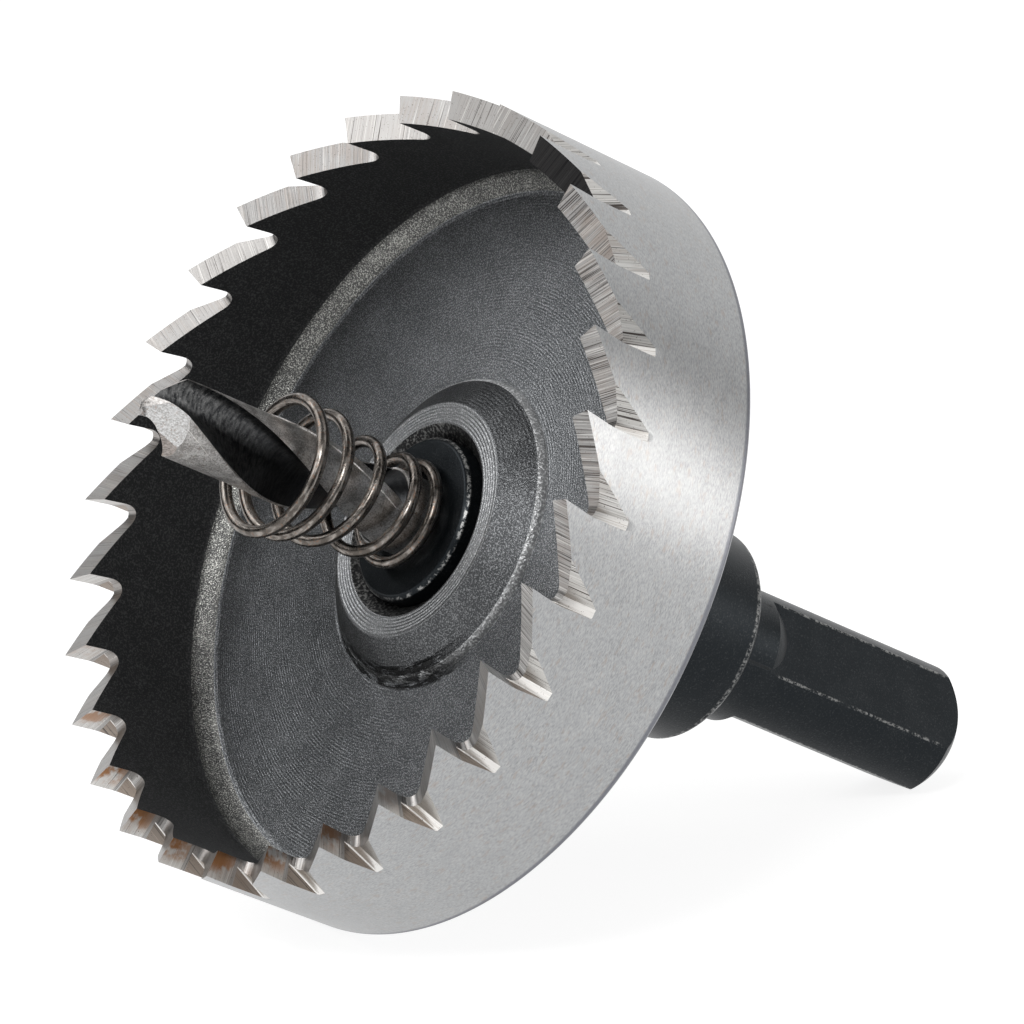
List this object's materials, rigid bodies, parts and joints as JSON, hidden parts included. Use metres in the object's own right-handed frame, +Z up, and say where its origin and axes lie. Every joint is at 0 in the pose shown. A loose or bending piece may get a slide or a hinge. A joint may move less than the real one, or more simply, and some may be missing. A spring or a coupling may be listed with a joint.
{
  "type": "hole saw",
  "caption": "Shallow toothed steel cup on a three-flat arbor, with a central pilot drill and a conical ejector spring, for cutting round holes in sheet metal.",
  "frame": {"origin": "middle of the part's footprint box, on the surface it lies on", "axes": "+Z up; the tool lies tilted, with its axis in the XZ plane and the drill pointing up and towards -X; +X towards the end of the shank"},
  "size_m": [0.0758, 0.065, 0.0644],
  "materials": {
    "cup_steel": "ground high-speed steel, satin outside and dark inside",
    "arbor_steel": "black oxide, satin",
    "drill_steel": "ground lands, dark flutes",
    "spring_steel": "oiled spring wire with a brown tint",
    "screw_steel": "black oxide"
  },
  "bodies": {
    "root": {"cutter_cup": "cup_steel", "arbor": "arbor_steel", "pilot_drill": "drill_steel", "ejector_spring": "spring_steel", "grub_screw": "screw_steel"}
  },
  "joints": []
}
